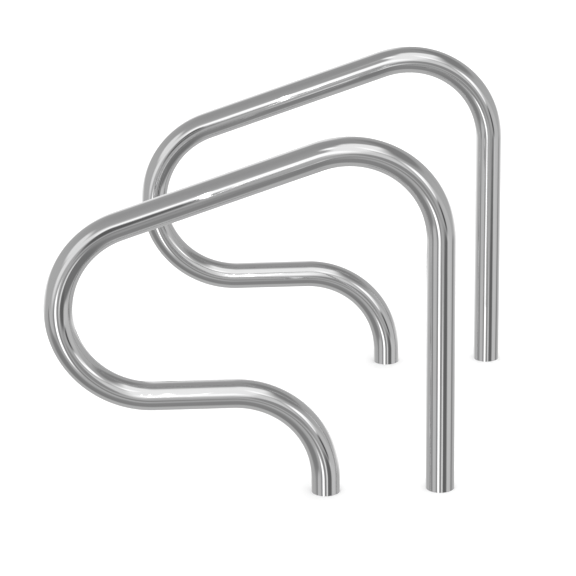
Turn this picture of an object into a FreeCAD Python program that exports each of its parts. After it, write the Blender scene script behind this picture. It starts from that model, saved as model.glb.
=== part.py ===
"""Pair of figure-four pool handrails, each standing in two deck wedge sockets.

Each rail is one length of round stainless tube bent in an upright plane: a post, a top
bend, a handhold that slopes down towards the pool, a nose bend, a level return and a
foot bend that brings the tube back down to the deck. Both ends stand in cast bronze
sockets set in the deck. In each socket a bolt draws up a tapered wedge, which grips
the tube.

Frame: millimetres, +Z up, -X towards the pool, the deck surface at Z = 0. The origin is
where the centre line of the right rail's post meets the deck. Right and left are as a
bather climbing out of the pool (facing +X) meets them.
"""
import FreeCAD, Part
import math
import os

from FreeCAD import Vector

# ---------------------------------------------------------------- driving dimensions

# the pair
RAIL_SPACING = 609.6        # between the two rails' planes, 24 in
LEFT_SETBACK = 150.0        # how much further from the pool the left rail stands

# the tube, 1.90 in outside and 0.065 in wall
TUBE_R = 24.15
TUBE_WALL = 1.65
BEND_R = 152.4              # centre line radius of every bend, 6 in
POST_HEIGHT = 441.0         # straight post above the deck
SLOPE = 18.4                # fall of the handhold towards the pool, degrees
HANDHOLD = 342.0            # straight part of the handhold
RETURN = 131.0              # straight part of the level return

# the socket
SOCKET_TOP = -3.0           # rim, just under the finished deck
SOCKET_DEPTH = 101.0        # 4 in
SOCKET_FLOOR = 6.0
BARREL_R = 43.5
BARREL_OFFSET = 13.5        # barrel axis from the tube axis, towards the wedge
RIM_R = 47.0
RIM_HEIGHT = 5.0
BORE_R = 24.8
DRAIN_R = 8.0

# the wedge and the pocket that it works in
POCKET_WIDTH = 24.0
LEDGE_TOP = -14.0           # the washer bears on it
LEDGE_BOTTOM = -23.0
TAPER = 5.0                 # degrees; the pocket widens downwards
POCKET_REACH = 46.0         # tube axis to the back wall, just under the ledge
WEDGE_WIDTH = 23.4
WEDGE_TOP = -30.0
WEDGE_HEIGHT = 45.0
WEDGE_GAP = 0.15            # between the wedge and what it bears on
WEDGE_CHAMFER = 1.2

# the 3/8-16 x 2 1/2 in wedge bolt and its washer
BOLT_X = 36.0               # bolt axis from the tube axis
BOLT_R = 4.76
BOLT_LENGTH = 63.5
BOLT_HEAD_FLATS = 14.29
BOLT_HEAD_HEIGHT = 5.95
BOLT_HOLE_R = 5.2
THREAD_GAP = 0.09
WASHER_R = 10.3
WASHER_HOLE_R = 5.16
WASHER_THICKNESS = 1.65

# the 1/4-20 bonding screw in the side of the socket
SCREW_Z = -60.0
SCREW_R = 3.12
SCREW_HOLE_R = 3.2
SCREW_LENGTH = 10.0
SCREW_HOLE_DEPTH = 11.0
SCREW_HEAD_FLATS = 11.11
SCREW_HEAD_HEIGHT = 4.1
SCREW_SLOT = 1.5
SEAT_R = 9.0                # spot face under the screw's head
SEAT_Y = 38.0               # spot face from the barrel's axis

HEAD_CHAMFER_ANGLE = 30.0   # of both hexagon heads

# ---------------------------------------------------------------- derived places

SOCKET_BOTTOM = SOCKET_TOP - SOCKET_DEPTH
TUBE_END = SOCKET_BOTTOM + SOCKET_FLOOR
SLOPE_RAD = math.radians(SLOPE)
TAPER_TAN = math.tan(math.radians(TAPER))
UP = Vector(0, 0, 1)


# ---------------------------------------------------------------- the rails

class Centreline:
    """A path in an upright plane, drawn by going straight and by bending."""

    def __init__(self, start, heading):
        self.at = start
        self.heading = heading      # degrees from +X towards +Z
        self.edges = []

    def ahead(self, turn=0.0):
        angle = math.radians(self.heading + turn)
        return Vector(math.cos(angle), 0, math.sin(angle))

    def go(self, length):
        end = self.at + self.ahead() * length
        self.edges.append(Part.makeLine(self.at, end))
        self.at = end

    def bend(self, angle):
        """Turn by angle degrees, positive to the left of the way ahead."""
        side = math.copysign(90.0, angle)
        centre = self.at + self.ahead(side) * BEND_R
        middle = centre + self.ahead(angle / 2 - side) * BEND_R
        end = centre + self.ahead(angle - side) * BEND_R
        self.edges.append(Part.Arc(self.at, middle, end).toShape())
        self.at = end
        self.heading += angle

    def pipe(self, radius):
        start = self.edges[0].Vertexes[0].Point
        disc = Part.Face(Part.Wire(Part.makeCircle(radius, start, UP)))
        return Part.Wire(self.edges).makePipe(disc)


def rail_centreline():
    """The whole tube's centre line, from the post's end to the foot's end."""
    line = Centreline(Vector(0, 0, TUBE_END), 90.0)
    line.go(POST_HEIGHT - TUBE_END)
    line.bend(90.0 + SLOPE)
    line.go(HANDHOLD)
    line.bend(180.0 - SLOPE)
    line.go(RETURN)
    line.bend(-90.0)
    line.go(line.at.z - TUBE_END)
    return line


def rail():
    line = rail_centreline()
    tube = line.pipe(TUBE_R).cut(line.pipe(TUBE_R - TUBE_WALL))
    length = sum(edge.Length for edge in line.edges)
    section = math.pi * (TUBE_R ** 2 - (TUBE_R - TUBE_WALL) ** 2)
    print("tube length %.1f mm, volume over section times length %.5f"
          % (length, tube.Volume / (section * length)))
    return tube


# ---------------------------------------------------------------- common shapes

def cylinder(radius, low, high, x=0.0):
    """An upright cylinder between two heights."""
    return Part.makeCylinder(radius, high - low, Vector(x, 0, low))


def block(x_low, x_high, width, low, high):
    """A block across the X axis, between two heights."""
    return Part.makeBox(x_high - x_low, width, high - low, Vector(x_low, -width / 2, low))


def hexagon_head(flats, height):
    """A hexagon head on Z = 0, with its top corners chamfered."""
    corner_r = flats / math.sqrt(3)
    corners = []
    for k in range(7):
        angle = math.radians(60 * k)
        corners.append(Vector(corner_r * math.cos(angle), corner_r * math.sin(angle), 0))
    prism = Part.Face(Part.makePolygon(corners)).extrude(UP * height)
    drop = height / math.tan(math.radians(HEAD_CHAMFER_ANGLE))
    cone = Part.makeCone(flats / 2 * 0.95 + drop, flats / 2 * 0.95, height)
    return prism.common(cone)


def screw(radius, length, flats, height, tip_chamfer=0.8):
    """A hexagon-headed screw hanging from Z = 0: head above, shank below."""
    shank = cylinder(radius, tip_chamfer - length, 0)
    tip = Part.makeCone(radius - tip_chamfer, radius, tip_chamfer, Vector(0, 0, -length))
    return hexagon_head(flats, height).fuse([shank, tip]).removeSplitter()


# ---------------------------------------------------------------- the socket's pieces
# Each is made with the tube's axis on X = Y = 0 and the bolt on the +X side.

def back_of_pocket(z):
    """Distance of the pocket's sloping back wall from the tube's axis."""
    return POCKET_REACH + (LEDGE_BOTTOM - z) * TAPER_TAN


def tapered_prism(z_low, z_high, width, gap=0.0):
    """A prism from the tube's axis to the sloping wall, less a gap."""
    outline = [Vector(0, -width / 2, z_low), Vector(back_of_pocket(z_low) - gap, -width / 2, z_low),
               Vector(back_of_pocket(z_high) - gap, -width / 2, z_high), Vector(0, -width / 2, z_high)]
    face = Part.Face(Part.makePolygon(outline + outline[:1]))
    return face.extrude(Vector(0, width, 0))


def socket(side):
    """The cast body. side is -1 or 1: the way the bonding screw faces along Y."""
    barrel = cylinder(BARREL_R, SOCKET_BOTTOM, SOCKET_TOP, BARREL_OFFSET)
    rim = cylinder(RIM_R, SOCKET_TOP - RIM_HEIGHT, SOCKET_TOP, BARREL_OFFSET)
    rim_edges = [edge for edge in rim.Edges if edge.Length > RIM_R]
    body = barrel.fuse(rim.makeFillet(1.0, rim_edges)).removeSplitter()
    head_room = block(0, BOLT_X, POCKET_WIDTH, LEDGE_TOP, 0).fuse(
        cylinder(POCKET_WIDTH / 2, LEDGE_TOP, 0, BOLT_X))
    seat = Part.makeCylinder(SEAT_R, BARREL_R, Vector(BARREL_OFFSET, side * SEAT_Y, SCREW_Z),
                             Vector(0, side, 0))
    screw_hole = Part.makeCylinder(SCREW_HOLE_R, SCREW_HOLE_DEPTH,
                                   Vector(BARREL_OFFSET, side * SEAT_Y, SCREW_Z),
                                   Vector(0, -side, 0))
    cuts = [
        cylinder(BORE_R, TUBE_END, 0),
        cylinder(DRAIN_R, SOCKET_BOTTOM - 1, 0),
        tapered_prism(TUBE_END, LEDGE_BOTTOM, POCKET_WIDTH),
        head_room,
        cylinder(BOLT_HOLE_R, LEDGE_BOTTOM - 1, 0, BOLT_X),
        seat,
        screw_hole,
    ]
    return body.cut(cuts)


def wedge():
    """The tapered jaw: hollowed to the tube in front, sloping at the back."""
    low = WEDGE_TOP - WEDGE_HEIGHT
    body = tapered_prism(low, WEDGE_TOP, WEDGE_WIDTH, WEDGE_GAP)
    back_edges = [edge for edge in body.Edges
                  if min(v.X for v in edge.Vertexes) > BORE_R]
    body = body.makeChamfer(WEDGE_CHAMFER, back_edges)
    jaw = cylinder(TUBE_R + WEDGE_GAP, low - 1, WEDGE_TOP + 1)
    hole = cylinder(BOLT_R + THREAD_GAP, low - 1, WEDGE_TOP + 1, BOLT_X)
    return body.cut([jaw, hole])


def wedge_bolt():
    bolt = screw(BOLT_R, BOLT_LENGTH, BOLT_HEAD_FLATS, BOLT_HEAD_HEIGHT)
    bolt.translate(Vector(BOLT_X, 0, LEDGE_TOP + WASHER_THICKNESS))
    return bolt


def washer():
    ring = cylinder(WASHER_R, LEDGE_TOP, LEDGE_TOP + WASHER_THICKNESS, BOLT_X)
    return ring.cut(cylinder(WASHER_HOLE_R, LEDGE_TOP - 1, 0, BOLT_X))


def bonding_screw(side):
    """Clamps the bonding wire to the socket's side; a slotted hexagon head."""
    body = screw(SCREW_R, SCREW_LENGTH, SCREW_HEAD_FLATS, SCREW_HEAD_HEIGHT)
    slot = Part.makeBox(2 * SCREW_HEAD_FLATS, SCREW_SLOT, SCREW_SLOT,
                        Vector(-SCREW_HEAD_FLATS, -SCREW_SLOT / 2, SCREW_HEAD_HEIGHT - SCREW_SLOT))
    body = body.cut(slot)
    body.rotate(Vector(), Vector(1, 0, 0), -90 * side)
    body.translate(Vector(BARREL_OFFSET, side * SEAT_Y, SCREW_Z))
    return body


# ---------------------------------------------------------------- assembly

def export(shape, name, offset):
    placed = shape.copy()
    placed.translate(offset)
    if not placed.isValid() or len(placed.Solids) != 1:
        raise ValueError(name + " is not one valid solid")
    placed.Solids[0].exportStep("parts/%s.step" % name)


def main():
    os.makedirs("parts", exist_ok=True)
    foot_x = rail_centreline().at.x
    tube = rail()
    sides = {"right": (Vector(0, 0, 0), -1), "left": (Vector(LEFT_SETBACK, RAIL_SPACING, 0), 1)}
    for hand, (rail_place, side) in sides.items():
        export(tube, hand + "_rail", rail_place)
        pieces = {
            "socket": socket(side),
            "wedge": wedge(),
            "wedge_bolt": wedge_bolt(),
            "washer": washer(),
            "bonding_screw": bonding_screw(side),
        }
        for leg, leg_x in (("post", 0.0), ("foot", foot_x)):
            for piece, shape in pieces.items():
                name = "_".join((hand, leg, piece))
                export(shape, name, rail_place + Vector(leg_x, 0, 0))


main()
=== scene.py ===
"""Looks for a pair of polished stainless pool handrails in their deck sockets."""

import math

import bmesh
import bpy
from mathutils import Matrix, Vector


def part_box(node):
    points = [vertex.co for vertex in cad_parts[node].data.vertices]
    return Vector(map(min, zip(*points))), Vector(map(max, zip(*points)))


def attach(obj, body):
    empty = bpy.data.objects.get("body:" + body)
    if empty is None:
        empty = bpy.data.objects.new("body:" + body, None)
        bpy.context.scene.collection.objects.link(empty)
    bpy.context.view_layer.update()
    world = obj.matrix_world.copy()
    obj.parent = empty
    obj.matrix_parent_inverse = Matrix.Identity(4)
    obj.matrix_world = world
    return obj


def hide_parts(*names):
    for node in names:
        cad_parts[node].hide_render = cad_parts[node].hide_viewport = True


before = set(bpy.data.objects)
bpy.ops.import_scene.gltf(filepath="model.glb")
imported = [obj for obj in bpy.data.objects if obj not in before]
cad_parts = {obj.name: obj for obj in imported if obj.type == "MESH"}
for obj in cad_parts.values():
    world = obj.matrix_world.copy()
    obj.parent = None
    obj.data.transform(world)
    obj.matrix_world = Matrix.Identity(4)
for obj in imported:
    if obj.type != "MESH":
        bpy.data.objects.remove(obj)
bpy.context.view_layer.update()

HANDS = ("right", "left")
LEGS = ("post", "foot")

# ---------------------------------------------------------------- driving sizes, metres

# the bent tube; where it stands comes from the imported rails
TUBE_RADIUS = 0.02414
TUBE_WALL = 0.00165
BEND_RADIUS = 0.1524
SLOPE = math.radians(18.4)
POST_STRAIGHT = 0.441
HANDHOLD = 0.342
RETURN = 0.131
RING_POINTS = 112           # round the tube
BEND_POINTS = 88            # along each bend
END_DEBURR = 0.0003
END_DEBURR_ANGLE = math.radians(60)   # only edges sharper than this are rounded
END_EDGE_ANGLE = math.radians(15)   # sharper edges keep the ends' shading off the tube

# the 3/8-16 wedge bolts
THREAD_PITCH = 0.0015875
THREAD_RADIUS = 0.00475
THREAD_DEPTH = 0.00092
THREAD_SIDES = 36
THREAD_RINGS = 7            # to each turn
CREST_SHARE = 0.15          # how far the slopes would run on past the crest and the root, cut flat there
TIP_TAPER = 0.8             # of the thread's depth, at the very tip
TIP_GAP = 0.00002           # between the plain bolt's end and the threaded one's
BOLT_FLATS = 0.01428
BOLT_CHAMFER = math.radians(30)
FACE_SHARE = 0.95           # of the flats, where the head's chamfer starts
FACE_RING_SHARE = 0.55
UNDERSIDE_RING_SHARE = 0.92
HEAD_POINTS = 72
HEAD_EDGE = 0.0002          # the break of the head's lower edge
CHAMFER_EDGE = 0.00015      # and of its chamfer's outer edge

CAST_EDGE = 0.0009          # rounding of cast edges
MACHINED_EDGE = 0.0004
ROUNDED_ANGLE = math.radians(50)    # edges sharper than this are rounded
CREASE_ANGLE = math.radians(40)     # sharper than this they stay creases in the shading
BOLT_CREASE_ANGLE = math.radians(28)
FLAT_ANGLE = math.radians(0.6)      # triangles flatter than this join into one face
MERGE_DISTANCE = 1e-6

# the deck
DECK_REACH = 7.0
DECK_HOLE_GAP = 0.00015
DECK_HOLE_POINTS = 120

# the camera
LENS = 150.0
SENSOR = 36.0
FAR_CLIP = 50.0
CAMERA_DISTANCE = 4.257
CAMERA_TURN = math.radians(-1.975)
CAMERA_PITCH = math.radians(19.085)
CAMERA_ROLL = math.radians(-0.924)
AIM_X = -0.2412             # what it looks at, from the near post, midway between the rails
AIM_Z = 0.2581

# The studio, as the steel sees it. Tones run from 0 black to 1 white. Turn is 0 towards
# the camera and positive to the right; height is above the horizon; all in degrees.
FLOOR_TONE = 0.66
LEVEL_TONE = 0.64
CEILING_TONE = 0.54
PANEL_SOFTNESS = 0.35       # share of a panel's size over which it fades, in and out
STEEL_GAIN = 1.35           # makes up for what the steel takes away
PLAIN_LIGHT = 1.45          # on everything that isn't shiny
PANELS = {                  # turn, height, half width, half height, tone, lean
    "ceiling bank": (35, 55, 45, 20, 0.90, -10),
    "ceiling lamp": (5, 45, 30, 8, 1.00, -20),
    "right ceiling": (100, 50, 60, 16, 0.48, 10),
    "back lamp": (-170, 5, 15, 40, 0.86, 0),
    "low back lamp": (180, -12, 60, 12, 0.92, 0),
    "front floor": (0, -60, 50, 20, 0.50, 0),
    "middle floor": (45, -42, 45, 18, 0.43, -25),
    "left floor": (-60, -50, 40, 22, 0.48, -20),
    "tall front lamp": (5, 30, 12, 40, 0.90, 8),
    "right lamp": (45, 5, 10, 22, 1.05, 20),
    "front shade": (15, 5, 10, 25, 0.78, -20),
    "left window": (-55, 25, 12, 18, 0.85, 45),
    "left lamp": (-35, 8, 12, 26, 0.85, -30),
    "upper left lamp": (-10, 17, 16, 10, 1.00, -20),
    "lens": (-12, 2, 6, 14, 0.35, 20),
    "tripod": (50, -5, 15, 8, 0.22, 15),
    "tripod foot": (12, -6, 9, 12, 0.52, -35),
    "right screen": (65, -10, 15, 28, 0.70, 45),
    # what the posts and the upright ends of the feet see, from left to right
    "far left shade": (-76, -22, 6, 7, 0.50, 0),
    "left gap": (-56, -22, 12, 7, 0.70, 0),
    "near left shade": (-34, -22, 5, 7, 0.53, 0),
    "strip lamp": (-19, -22, 7, 8, 1.12, 0),
    "camera case": (-4, -23, 5, 5, 0.50, 0),
    "small lamp": (10, -24, 5, 5, 0.85, 0),
    "dark curtain": (32, -22, 12, 7, 0.37, 0),
    "right gap": (63, -22, 14, 7, 0.73, 0),
    "right shade": (96, -22, 8, 7, 0.50, 0),
}

# thin lamps that glint on each rail: on which stretch, how far along it, the lamp's width
# and height, and its strength
GLINT_DISTANCE = 1.3
GLINTS = (
    ("handhold", 0.193, 0.016, 0.85, 4.0),
    ("nose", 0.0, 0.010, 0.45, 1.2),
    ("return", 0.028, 0.014, 0.60, 2.0),
)
NOSE_GLINT_TURN = 0.144     # radians of the nose bend short of its end


# ---------------------------------------------------------------- node writing

class Sum:
    """A number in a node tree; Python's operators on it add Math nodes."""

    def __init__(self, desk, socket):
        self.desk = desk
        self.socket = socket

    def math(self, operation, *others, swap=False):
        terms = [self, *others]
        if swap:
            terms.reverse()
        return self.desk.add("ShaderNodeMath", *terms, operation=operation)

    def __add__(self, other):
        return self.math("ADD", other)

    def __radd__(self, other):
        return self.math("ADD", other)

    def __sub__(self, other):
        return self.math("SUBTRACT", other)

    def __rsub__(self, other):
        return self.math("SUBTRACT", other, swap=True)

    def __mul__(self, other):
        return self.math("MULTIPLY", other)

    def __rmul__(self, other):
        return self.math("MULTIPLY", other)

    def __truediv__(self, other):
        return self.math("DIVIDE", other)

    def __rtruediv__(self, other):
        return self.math("DIVIDE", other, swap=True)

    def __pow__(self, other):
        return self.math("POWER", other)

    def __abs__(self):
        return self.math("ABSOLUTE")

    def fraction(self):
        return self.math("FRACT")

    def wrap(self, high, low):
        return self.math("WRAP", high, low)

    def least(self, other):
        return self.math("MINIMUM", other)

    def most(self, other):
        return self.math("MAXIMUM", other)

    def ease(self, start, end):
        """0 before start, 1 after end, smooth between; start may lie after end."""
        flip = start > end
        low, high = (end, start) if flip else (start, end)
        made = self.desk.add("ShaderNodeMapRange", self, low, high, 0.0, 1.0,
                             interpolation_type="SMOOTHSTEP")
        return 1 - made if flip else made


class Desk:
    """Adds nodes to one tree, of shader or of geometry nodes."""

    def __init__(self, tree):
        self.tree = tree

    def add(self, kind, *values, out=0, **settings):
        """A node of this kind. Settings go first, then values or links by place or, as
        (name, value) pairs, by name. Gives back one of its outputs."""
        node = self.tree.nodes.new(kind)
        for name, value in settings.items():
            setattr(node, name, value)
        for place, value in enumerate(values):
            if isinstance(value, tuple) and isinstance(value[0], str):
                place, value = value
                place = [socket.name for socket in node.inputs].index(place)
            self.put(node.inputs[place], value)
        return Sum(self, node.outputs[out]) if node.outputs else node

    def put(self, socket, value):
        if isinstance(value, Sum):
            self.tree.links.new(value.socket, socket)
        elif value is not None:
            socket.default_value = value

    def output(self, number, name):
        """Another output of the node that a number came from."""
        return Sum(self, number.socket.node.outputs[name])

    def blend(self, share, first, second):
        """Mixes two colours."""
        mixed = self.add("ShaderNodeMix", share, data_type="RGBA")
        node = mixed.socket.node
        for socket, value in ((node.inputs[6], first), (node.inputs[7], second)):
            self.put(socket, value if isinstance(value, Sum) else (*value, 1.0))
        return Sum(self, node.outputs[2])

    def vector(self, operation, first, second):
        return self.add("ShaderNodeVectorMath", first, second, operation=operation)

    def noise(self, vector, scale, detail=2.0, rough=0.5):
        return self.add("ShaderNodeTexNoise", ("Vector", vector), ("Scale", scale),
                        ("Detail", detail), ("Roughness", rough))

    def bump(self, height, distance, under=None):
        return self.add("ShaderNodeBump", ("Strength", 1.0), ("Distance", distance),
                        ("Height", height), ("Normal", under))


class GeometryDesk(Desk):
    """A geometry tree with named inputs for its sizes."""

    KINDS = {bool: "Bool", int: "Int", float: "Float", bpy.types.Material: "Material"}

    def __init__(self, name, **sizes):
        super().__init__(bpy.data.node_groups.new(name, "GeometryNodeTree"))
        face = self.tree.interface
        face.new_socket("Geometry", in_out="OUTPUT", socket_type="NodeSocketGeometry")
        face.new_socket("Geometry", in_out="INPUT", socket_type="NodeSocketGeometry")
        self.sizes = {}
        for label, value in sizes.items():
            item = face.new_socket(label, in_out="INPUT",
                                   socket_type="NodeSocket" + self.KINDS[type(value)])
            self.sizes[item.identifier] = value
        self.source = self.tree.nodes.new("NodeGroupInput")
        self.result = self.tree.nodes.new("NodeGroupOutput")

    def size(self, label):
        return Sum(self, self.source.outputs[label])

    def end(self, geometry):
        """Closes the tree: instances made real, then the material set."""
        real = self.add("GeometryNodeRealizeInstances", geometry)
        dressed = self.add("GeometryNodeSetMaterial", ("Geometry", real),
                           ("Material", self.size("material")))
        self.put(self.result.inputs[0], dressed)

    def put_on(self, thing):
        modifier = thing.modifiers.new(self.tree.name, "NODES")
        modifier.node_group = self.tree
        for identifier, value in self.sizes.items():
            modifier[identifier] = value


def new_material(name):
    """An empty material's desk."""
    material = bpy.data.materials.new(name)
    material.use_nodes = True
    material.node_tree.nodes.clear()
    return material, Desk(material.node_tree)


def finish_material(desk, colour, metallic, roughness, normal=None):
    shader = desk.add("ShaderNodeBsdfPrincipled", ("Base Color", colour),
                      ("Metallic", metallic), ("Roughness", roughness), ("Normal", normal))
    desk.add("ShaderNodeOutputMaterial", shader)


def object_place(desk):
    return desk.add("ShaderNodeTexCoord", out=3)


# ---------------------------------------------------------------- materials

def polished_stainless():
    """Mirror polished tube: fine polishing lines along it, a faint swell from bending,
    haze, wipe marks and a few hairline scratches."""
    material, desk = new_material("polished_stainless")
    straight = desk.add("ShaderNodeAttribute", attribute_name="straight", out=1)
    lines = desk.noise(desk.vector("MULTIPLY", straight, (1.0, 1.0, 0.012)), 900.0, 3.0, 0.6)
    bands = desk.noise(desk.vector("MULTIPLY", straight, (1.0, 1.0, 0.03)), 150.0, 2.0)
    haze = desk.noise(straight, 14.0, 3.0, 0.55)
    wipe = desk.noise(desk.vector("MULTIPLY", straight, (1.0, 1.0, 0.25)), 45.0, 2.0, 0.6)
    smear = haze.ease(0.52, 0.72) * wipe.ease(0.45, 0.75)
    across = desk.noise(desk.vector("MULTIPLY", straight, (0.35, 0.35, 1.0)), 700.0, 1.0)
    where = desk.noise(straight, 55.0, 1.0)
    scratch = across.ease(0.70, 0.74) * where.ease(0.58, 0.66)
    colour = desk.blend(0.5 + (bands - 0.5) * 0.8 + (haze - 0.5) * 0.6 - smear * 0.2,
                        (0.70, 0.70, 0.705), (0.79, 0.79, 0.79))
    roughness = 0.05 + (lines - 0.5) * 0.04 + smear * 0.04 + scratch * 0.08
    swell = desk.bump(desk.noise(straight, 22.0, 1.0), 0.00015)
    relief = desk.bump(lines * 0.6 + bands * 0.4, 0.000002, swell)
    finish_material(desk, colour, 1.0, roughness, relief)
    return material


def cast_bronze():
    """Sand cast bronze, browned in the ground, with green stains and rubbed spots."""
    material, desk = new_material("cast_bronze")
    place = object_place(desk)
    sand = desk.noise(place, 900.0, 4.0, 0.65)
    patch = desk.noise(place, 38.0, 4.0, 0.6)
    stain = desk.noise(place, 110.0, 3.0, 0.6)
    rubbed = desk.noise(place, 70.0, 2.0, 0.5)
    brown = desk.blend(patch.ease(0.35, 0.65), (0.30, 0.185, 0.095), (0.43, 0.29, 0.15))
    worn = desk.blend(rubbed.ease(0.60, 0.75) * 0.5, brown, (0.56, 0.40, 0.21))
    colour = desk.blend(stain.ease(0.60, 0.74) * 0.4, worn, (0.17, 0.24, 0.18))
    roughness = (0.46 + (sand - 0.5) * 0.25 + stain.ease(0.55, 0.75) * 0.2
                 - rubbed.ease(0.60, 0.75) * 0.12)
    relief = desk.bump(sand * 0.6 + patch * 0.4, 0.00035)
    finish_material(desk, colour, 0.92, roughness, relief)
    return material


def machined_bronze():
    """Brighter bronze with fine tool lines and dull patches."""
    material, desk = new_material("machined_bronze")
    place = object_place(desk)
    tool = desk.noise(desk.vector("MULTIPLY", place, (0.08, 0.08, 1.0)), 3200.0, 2.0)
    patch = desk.noise(place, 60.0, 3.0, 0.6)
    colour = desk.blend(patch.ease(0.35, 0.7), (0.50, 0.33, 0.16), (0.63, 0.45, 0.24))
    roughness = 0.27 + (tool - 0.5) * 0.2 + patch.ease(0.5, 0.8) * 0.12
    finish_material(desk, colour, 1.0, roughness, desk.bump(tool, 0.00002))
    return material


def turned_steel():
    """Stainless bolts and washers, satin, a little smudged."""
    material, desk = new_material("turned_steel")
    place = object_place(desk)
    grain = desk.noise(desk.vector("MULTIPLY", place, (1.0, 1.0, 0.3)), 2600.0, 2.0, 0.55)
    patch = desk.noise(place, 90.0, 3.0, 0.6)
    colour = desk.blend(patch.ease(0.35, 0.7), (0.52, 0.515, 0.51), (0.66, 0.655, 0.65))
    roughness = 0.26 + (grain - 0.5) * 0.16 + patch.ease(0.5, 0.8) * 0.08
    finish_material(desk, colour, 1.0, roughness, desk.bump(grain, 0.000015))
    return material


def screw_brass():
    """Brass dulled to brown in patches."""
    material, desk = new_material("screw_brass")
    place = object_place(desk)
    grain = desk.noise(place, 1800.0, 3.0, 0.6)
    dull = desk.noise(place, 140.0, 3.0, 0.6)
    colour = desk.blend(dull.ease(0.4, 0.7), (0.68, 0.52, 0.24), (0.50, 0.36, 0.16))
    roughness = 0.30 + dull.ease(0.4, 0.7) * 0.15 + (grain - 0.5) * 0.12
    finish_material(desk, colour, 1.0, roughness, desk.bump(grain, 0.00002))
    return material


def pale_deck():
    """Pale matt floor, a little uneven."""
    material, desk = new_material("pale_deck")
    mottle = desk.noise(object_place(desk), 6.0, 3.0)
    colour = desk.blend(mottle, (0.90, 0.90, 0.90), (0.93, 0.93, 0.93))
    finish_material(desk, colour, 0.0, 0.85)
    return material


# ---------------------------------------------------------------- making pieces

def show(thing):
    bpy.context.scene.collection.objects.link(thing)
    return thing


def plain_mesh(maker, name):
    """The evaluated shape of an object as a plain mesh object; the maker is removed."""
    bpy.context.view_layer.update()
    ready = maker.evaluated_get(bpy.context.evaluated_depsgraph_get())
    mesh = bpy.data.meshes.new_from_object(ready)
    mesh.name = name
    bpy.data.objects.remove(maker)
    return show(bpy.data.objects.new(name, mesh))


def hand_over(piece, node, slot):
    """Puts a finished piece in a CAD node's stead."""
    if slot != "polished_stainless":
        piece.visible_glossy = False    # the deck hides it from the tubes
    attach(piece, BODY_OF[node])
    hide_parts(node)


def body_table():
    """Which body each CAD node belongs to."""
    table = {}
    for hand in HANDS:
        table[hand + "_rail"] = hand + "_rail"
        for leg in LEGS:
            stem = "_".join((hand, leg, ""))
            for piece in ("socket", "washer", "bonding_screw"):
                table[stem + piece] = "deck_sockets"
            table[stem + "wedge"] = stem + "wedge"
            table[stem + "wedge_bolt"] = stem + "bolt"
    return table


BODY_OF = body_table()


# ---------------------------------------------------------------- the bent tube

class Route:
    """The rail's path of straights, with its corners not yet rounded."""

    def __init__(self, hand):
        low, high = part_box(hand + "_rail")
        y = (low.y + high.y) / 2
        post_x = high.x - TUBE_RADIUS
        top_setback = BEND_RADIUS * math.tan((math.pi / 2 + SLOPE) / 2)
        nose_setback = BEND_RADIUS * math.tan((math.pi - SLOPE) / 2)
        fall = Vector((-math.cos(SLOPE), 0, -math.sin(SLOPE)))
        top = Vector((post_x, y, POST_STRAIGHT + top_setback))
        nose = top + fall * (top_setback + HANDHOLD + nose_setback)
        heel = nose + Vector((nose_setback + RETURN + BEND_RADIUS, 0, 0))
        self.corners = [Vector((post_x, y, low.z)), top, nose, heel,
                        Vector((heel.x, y, low.z))]
        self.legs = {"post": (post_x, y), "foot": (heel.x, y)}
        self.starts = {"handhold": (top + fall * top_setback, fall),
                       "return": (nose + Vector((nose_setback, 0, 0)), Vector((1, 0, 0)))}
        sin, cos = math.sin(NOSE_GLINT_TURN), math.cos(NOSE_GLINT_TURN)
        self.starts["nose"] = (self.starts["return"][0]
                               + Vector((-sin, 0, 1 - cos)) * BEND_RADIUS,
                               Vector((cos, 0, -sin)))

    def curve(self, name):
        curve = bpy.data.curves.new(name, "CURVE")
        curve.dimensions = "3D"
        spline = curve.splines.new("POLY")
        spline.points.add(len(self.corners) - 1)
        for point, corner in zip(spline.points, self.corners):
            point.co = (*corner, 1.0)
        return show(bpy.data.objects.new(name, curve))


def bent_tube_tree(material):
    """Rounds the corners of a route and sweeps a ring along it. Each point keeps where it
    would lie if the tube were straight, so that a finish can follow the tube."""
    desk = GeometryDesk("bent_tube", tube_radius=TUBE_RADIUS, bend_radius=BEND_RADIUS,
                        ring_points=RING_POINTS, bend_points=BEND_POINTS, material=material)
    bends = desk.add("GeometryNodeFilletCurve", ("Curve", desk.size("Geometry")),
                     ("Count", desk.size("bend_points")), ("Radius", desk.size("bend_radius")),
                     ("Limit Radius", False), mode="POLY")
    across = desk.add("FunctionNodeInputVector", vector=(0.0, 1.0, 0.0))
    route = desk.add("GeometryNodeSetCurveNormal", ("Curve", bends), ("Normal", across),
                     mode="FREE")
    length = desk.output(desk.add("GeometryNodeSplineParameter"), "Length")
    route = desk.add("GeometryNodeStoreNamedAttribute", ("Geometry", route),
                     ("Name", "along"), ("Value", length), data_type="FLOAT")
    ring = desk.add("GeometryNodeCurvePrimitiveCircle",
                    ("Resolution", desk.size("ring_points")),
                    ("Radius", desk.size("tube_radius")))
    ring = desk.add("GeometryNodeStoreNamedAttribute", ("Geometry", ring),
                    ("Name", "round"), ("Value", desk.add("GeometryNodeInputPosition")),
                    data_type="FLOAT_VECTOR")
    swept = desk.add("GeometryNodeCurveToMesh", ("Curve", route), ("Profile Curve", ring))
    along = desk.add("GeometryNodeInputNamedAttribute", ("Name", "along"),
                     data_type="FLOAT")
    place = desk.add("GeometryNodeInputNamedAttribute", ("Name", "round"),
                     data_type="FLOAT_VECTOR")
    place = desk.vector("ADD", place, desk.add("ShaderNodeCombineXYZ", ("Z", along)))
    marked = desk.add("GeometryNodeStoreNamedAttribute", ("Geometry", swept),
                      ("Name", "straight"), ("Value", place), data_type="FLOAT_VECTOR")
    desk.end(desk.add("GeometryNodeSetShadeSmooth", ("Geometry", marked)))
    return desk


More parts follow.
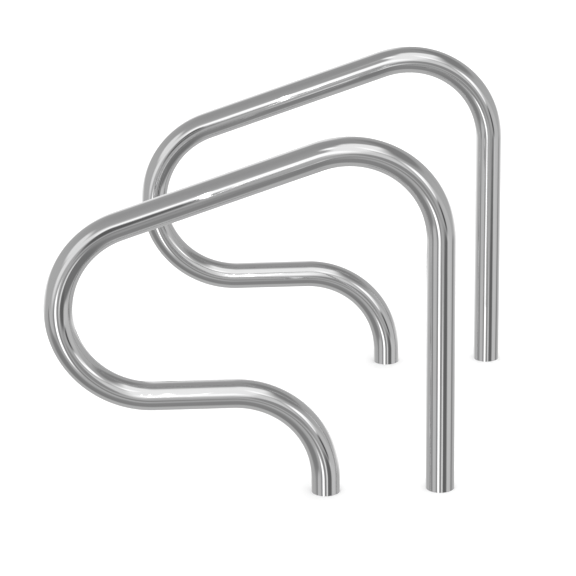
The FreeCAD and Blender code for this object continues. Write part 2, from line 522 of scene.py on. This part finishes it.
def make_rail(hand, route, tube_tree):
    """The swept tube given its wall, and its cut ends rounded off."""
    maker = route.curve(hand + "_route")
    tube_tree.put_on(maker)
    tube = plain_mesh(maker, hand + "_tube")
    wall = tube.modifiers.new("wall", "SOLIDIFY")
    wall.thickness = TUBE_WALL
    wall.offset = -1.0
    wall.use_even_offset = True
    deburr = tube.modifiers.new("deburr", "BEVEL")
    deburr.width = END_DEBURR
    deburr.segments = 2
    deburr.limit_method = "ANGLE"
    deburr.angle_limit = END_DEBURR_ANGLE
    rail = plain_mesh(tube, hand + "_handrail")
    rail.data.set_sharp_from_angle(angle=END_EDGE_ANGLE)
    hand_over(rail, hand + "_rail", "polished_stainless")
    return rail


# ---------------------------------------------------------------- in the sockets

def thread_tree(length, material):
    """A round bar pulled in along a helix: an upright threaded shank, top at Z = 0."""
    desk = GeometryDesk("thread", radius=THREAD_RADIUS, length=length, depth=THREAD_DEPTH,
                        pitch=THREAD_PITCH, sides=THREAD_SIDES,
                        rings=int(THREAD_RINGS * length / THREAD_PITCH), material=material)
    radius, pitch = desk.size("radius"), desk.size("pitch")
    bar = desk.add("GeometryNodeMeshCylinder", ("Vertices", desk.size("sides")),
                   ("Side Segments", desk.size("rings")), ("Radius", radius),
                   ("Depth", desk.size("length")), fill_type="TRIANGLE_FAN")
    here = desk.add("GeometryNodeInputPosition")
    x = desk.add("ShaderNodeSeparateXYZ", here)
    y, z = desk.output(x, "Y"), desk.output(x, "Z")
    turn = y.math("ARCTAN2", x) / (2 * math.pi)
    ridge = abs((z / pitch - turn).fraction() * 2 - 1)
    groove = (ridge * (1 + 2 * CREST_SHARE) - CREST_SHARE).most(0.0).least(1.0)
    from_tip = z + desk.size("length") / 2
    tip = (1 - from_tip / pitch).most(0.0) * TIP_TAPER
    pull = groove.most(tip) * desk.size("depth")
    scale = 1 - pull / radius
    there = desk.add("ShaderNodeCombineXYZ", x * scale, y * scale,
                     z - desk.size("length") / 2)
    moved = desk.add("GeometryNodeSetPosition", ("Geometry", bar), ("Position", there))
    desk.end(desk.add("GeometryNodeSetShadeSmooth", ("Geometry", moved)))
    return desk


def hexagon_head(height):
    """A chamfered hexagon head standing on Z = 0, as a mesh of rings with both poles
    closed."""
    shape = bmesh.new()
    flat = BOLT_FLATS / 2
    step = 2 * math.pi / HEAD_POINTS

    def outline(angle):
        return flat / math.cos((angle + math.pi / 6) % (math.pi / 3) - math.pi / 6)

    def chamfer(radius):
        return height - max(0.0, radius - flat * FACE_SHARE) * math.tan(BOLT_CHAMFER)

    def ring(radius_of, height_of):
        points = []
        for k in range(HEAD_POINTS):
            radius = radius_of(k * step)
            place = (radius * math.cos(k * step), radius * math.sin(k * step), height_of(radius))
            points.append(shape.verts.new(place))
        return points

    rings = [
        ring(lambda angle: flat * UNDERSIDE_RING_SHARE, lambda radius: 0.0),
        ring(lambda angle: outline(angle) - HEAD_EDGE, lambda radius: 0.0),
        ring(outline, lambda radius: HEAD_EDGE),
        ring(outline, lambda radius: chamfer(radius) - CHAMFER_EDGE),
        ring(lambda angle: outline(angle) - CHAMFER_EDGE, chamfer),
        ring(lambda angle: flat * FACE_SHARE, lambda radius: height),
        ring(lambda angle: flat * FACE_RING_SHARE, lambda radius: height),
    ]
    for lower, upper in zip(rings, rings[1:]):
        for k in range(HEAD_POINTS):
            shape.faces.new((lower[k - 1], lower[k], upper[k], upper[k - 1]))
    bottom, top = shape.verts.new((0, 0, 0)), shape.verts.new((0, 0, height))
    for k in range(HEAD_POINTS):
        shape.faces.new((rings[0][k], rings[0][k - 1], bottom))
        shape.faces.new((rings[-1][k - 1], rings[-1][k], top))
    return shape


def make_bolt(stem, thread, steel):
    """A hexagon bolt with a real thread in place of the plain one."""
    node = stem + "wedge_bolt"
    low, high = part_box(node)
    washer_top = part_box(stem + "washer")[1].z
    centre = Vector(((low.x + high.x) / 2, (low.y + high.y) / 2, washer_top))
    maker = show(bpy.data.objects.new(stem + "shank", bpy.data.meshes.new(stem + "shank")))
    thread.put_on(maker)
    shank = plain_mesh(maker, stem + "shank")
    head = hexagon_head(high.z - washer_top)
    head.from_mesh(shank.data)
    head.transform(Matrix.Translation(centre))
    mesh = bpy.data.meshes.new(stem + "hexagon_bolt")
    head.to_mesh(mesh)
    head.free()
    for face in mesh.polygons:
        face.material_index = 0
    mesh.materials.append(steel)
    bpy.data.objects.remove(shank)
    mesh.shade_smooth()
    mesh.set_sharp_from_angle(angle=BOLT_CREASE_ANGLE)
    hand_over(show(bpy.data.objects.new(mesh.name, mesh)), node, "stainless_fastener")


def rounded_copy(node, name, width, material, slot):
    """The CAD piece again with its edges rounded."""
    shape = bmesh.new()
    shape.from_mesh(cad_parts[node].data)
    bmesh.ops.remove_doubles(shape, verts=shape.verts, dist=MERGE_DISTANCE)
    bmesh.ops.dissolve_limit(shape, angle_limit=FLAT_ANGLE, verts=shape.verts,
                             edges=shape.edges)
    mesh = bpy.data.meshes.new(name)
    shape.to_mesh(mesh)
    shape.free()
    mesh.materials.append(material)
    maker = show(bpy.data.objects.new(name + "_maker", mesh))
    rounding = maker.modifiers.new("rounding", "BEVEL")
    rounding.width = width
    rounding.segments = 2
    rounding.limit_method = "ANGLE"
    rounding.angle_limit = ROUNDED_ANGLE
    rounding.use_clamp_overlap = True
    piece = plain_mesh(maker, name)
    piece.data.shade_smooth()
    piece.data.set_sharp_from_angle(angle=CREASE_ANGLE)
    hand_over(piece, node, slot)


def fill_sockets():
    """Everything below the deck."""
    bronze, bright, steel, brass = (cast_bronze(), machined_bronze(), turned_steel(),
                                    screw_brass())
    bolt_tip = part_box("right_post_wedge_bolt")[0].z
    washer_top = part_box("right_post_washer")[1].z
    thread = thread_tree(washer_top - bolt_tip - TIP_GAP, steel)
    for hand in HANDS:
        for leg in LEGS:
            stem = "_".join((hand, leg, ""))
            rounded_copy(stem + "socket", stem + "cast_socket", CAST_EDGE, bronze,
                         "cast_bronze")
            rounded_copy(stem + "wedge", stem + "grip_wedge", MACHINED_EDGE, bright,
                         "machined_bronze")
            make_bolt(stem, thread, steel)
            for piece, material in (("washer", steel), ("bonding_screw", brass)):
                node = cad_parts[stem + piece]
                node.data.materials.clear()
                node.data.materials.append(material)
                node.visible_glossy = False


# ---------------------------------------------------------------- the deck, lamps, camera

def make_deck(holes, material):
    """A flat deck with a hole for each leg."""
    curve = bpy.data.curves.new("deck", "CURVE")
    curve.dimensions = "2D"
    curve.fill_mode = "BOTH"
    radius = TUBE_RADIUS + DECK_HOLE_GAP
    step = 2 * math.pi / DECK_HOLE_POINTS
    outlines = [[(x * DECK_REACH, y * DECK_REACH)
                 for x, y in ((-1, -1), (1, -1), (1, 1), (-1, 1))]]
    for x, y in holes:
        outlines.append([(x + radius * math.cos(k * step), y + radius * math.sin(k * step))
                         for k in range(DECK_HOLE_POINTS)])
    for outline in outlines:
        spline = curve.splines.new("POLY")
        spline.points.add(len(outline) - 1)
        for point, (x, y) in zip(spline.points, outline):
            point.co = (x, y, 0, 1)
        spline.use_cyclic_u = True
    deck = plain_mesh(show(bpy.data.objects.new("deck_outline", curve)), "deck")
    deck.data.materials.append(material)
    deck.visible_glossy = False


class Room(Desk):
    """The room round the rails, as a tone that soft oval panels are laid over."""

    def __init__(self, tree):
        super().__init__(tree)
        x = self.add("ShaderNodeSeparateXYZ", self.add("ShaderNodeTexCoord"))
        y, z = self.output(x, "Y"), self.output(x, "Z")
        self.turn = x.math("ARCTAN2", 0 - y) * math.degrees(1)
        self.height = z.math("ARCSINE") * math.degrees(1)
        self.tone = (FLOOR_TONE + self.height.ease(-90.0, 0.0) * (LEVEL_TONE - FLOOR_TONE)
                     + self.height.ease(0.0, 90.0) * (CEILING_TONE - LEVEL_TONE))

    def lay(self, turn, height, half_width, half_height, tone, lean):
        """Lays one panel over what is there."""
        across = (self.turn - turn).wrap(180.0, -180.0)
        up = self.height - height
        cos, sin = math.cos(math.radians(lean)), math.sin(math.radians(lean))
        u = (across * cos + up * sin) / half_width
        v = (up * cos - across * sin) / half_height
        share = ((u * u + v * v) ** 0.5).ease(1 + PANEL_SOFTNESS, 1 - PANEL_SOFTNESS)
        self.tone = self.tone + (tone - self.tone) * share


def make_room():
    """Shiny things see the studio; all else gets plain soft light."""
    world = bpy.data.worlds.new("studio")
    world.use_nodes = True
    world.node_tree.nodes.clear()
    bpy.context.scene.world = world
    room = Room(world.node_tree)
    for panel in PANELS.values():
        room.lay(*panel)
    studio = room.add("ShaderNodeBackground", room.tone ** 2.2, STEEL_GAIN)
    plain = room.add("ShaderNodeBackground", (1.0, 1.0, 1.0, 1.0), PLAIN_LIGHT)
    shiny = room.output(room.add("ShaderNodeLightPath"), "Is Glossy Ray")
    room.add("ShaderNodeOutputWorld", room.add("ShaderNodeMixShader", shiny, plain, studio))


def make_camera(middle):
    """Makes the camera and says where it is."""
    camera = show(bpy.data.objects.new("camera", bpy.data.cameras.new("camera")))
    camera.data.lens = LENS
    camera.data.sensor_width = SENSOR
    camera.data.clip_end = FAR_CLIP
    back = Vector((math.sin(CAMERA_TURN) * math.cos(CAMERA_PITCH),
                   -math.cos(CAMERA_TURN) * math.cos(CAMERA_PITCH), math.sin(CAMERA_PITCH)))
    right = Vector((math.cos(CAMERA_TURN), math.sin(CAMERA_TURN), 0.0))
    up = back.cross(right)
    right = right * math.cos(CAMERA_ROLL) + up * math.sin(CAMERA_ROLL)
    turn = Matrix((right, back.cross(right), back)).transposed()
    place = middle + Vector((AIM_X, 0, AIM_Z)) + back * CAMERA_DISTANCE
    camera.matrix_world = Matrix.Translation(place) @ turn.to_4x4()
    bpy.context.scene.camera = camera
    return place


def make_glint(name, rail, spot, along, eye, narrow, tall, strength):
    """A thin lamp that glints at one spot on a rail and lights that rail only."""
    to_eye = (eye - spot).normalized()
    facing = (to_eye - along * to_eye.dot(along)).normalized()
    way = 2 * to_eye.dot(facing) * facing - to_eye
    data = bpy.data.lights.new(name, "AREA")
    data.shape = "ELLIPSE"
    data.size = narrow
    data.size_y = tall
    data.energy = strength * math.pi * (math.pi / 4 * narrow * tall)
    lamp = show(bpy.data.objects.new(name, data))
    side = (along - way * along.dot(way)).normalized()
    turn = Matrix((side, way.cross(side), way)).transposed()
    lamp.matrix_world = Matrix.Translation(spot + way * GLINT_DISTANCE) @ turn.to_4x4()
    lamp.visible_camera = False
    lit = bpy.data.collections.new(name + "_lights")
    lit.objects.link(rail)
    lamp.light_linking.receiver_collection = lit


# ---------------------------------------------------------------- everything

def main():
    routes = {hand: Route(hand) for hand in HANDS}
    near, far = (routes[hand].legs["post"] for hand in HANDS)
    middle = Vector((near[0], (near[1] + far[1]) / 2, 0.0))
    eye = make_camera(middle)
    make_room()
    tube_tree = bent_tube_tree(polished_stainless())
    for hand, route in routes.items():
        rail = make_rail(hand, route, tube_tree)
        for part, distance, narrow, tall, strength in GLINTS:
            start, along = route.starts[part]
            make_glint("_".join((hand, part, "glint")), rail, start + along * distance,
                       along, eye, narrow, tall, strength)
    fill_sockets()
    make_deck([place for route in routes.values() for place in route.legs.values()],
              pale_deck())
    bpy.context.scene.view_settings.view_transform = "Standard"


main()
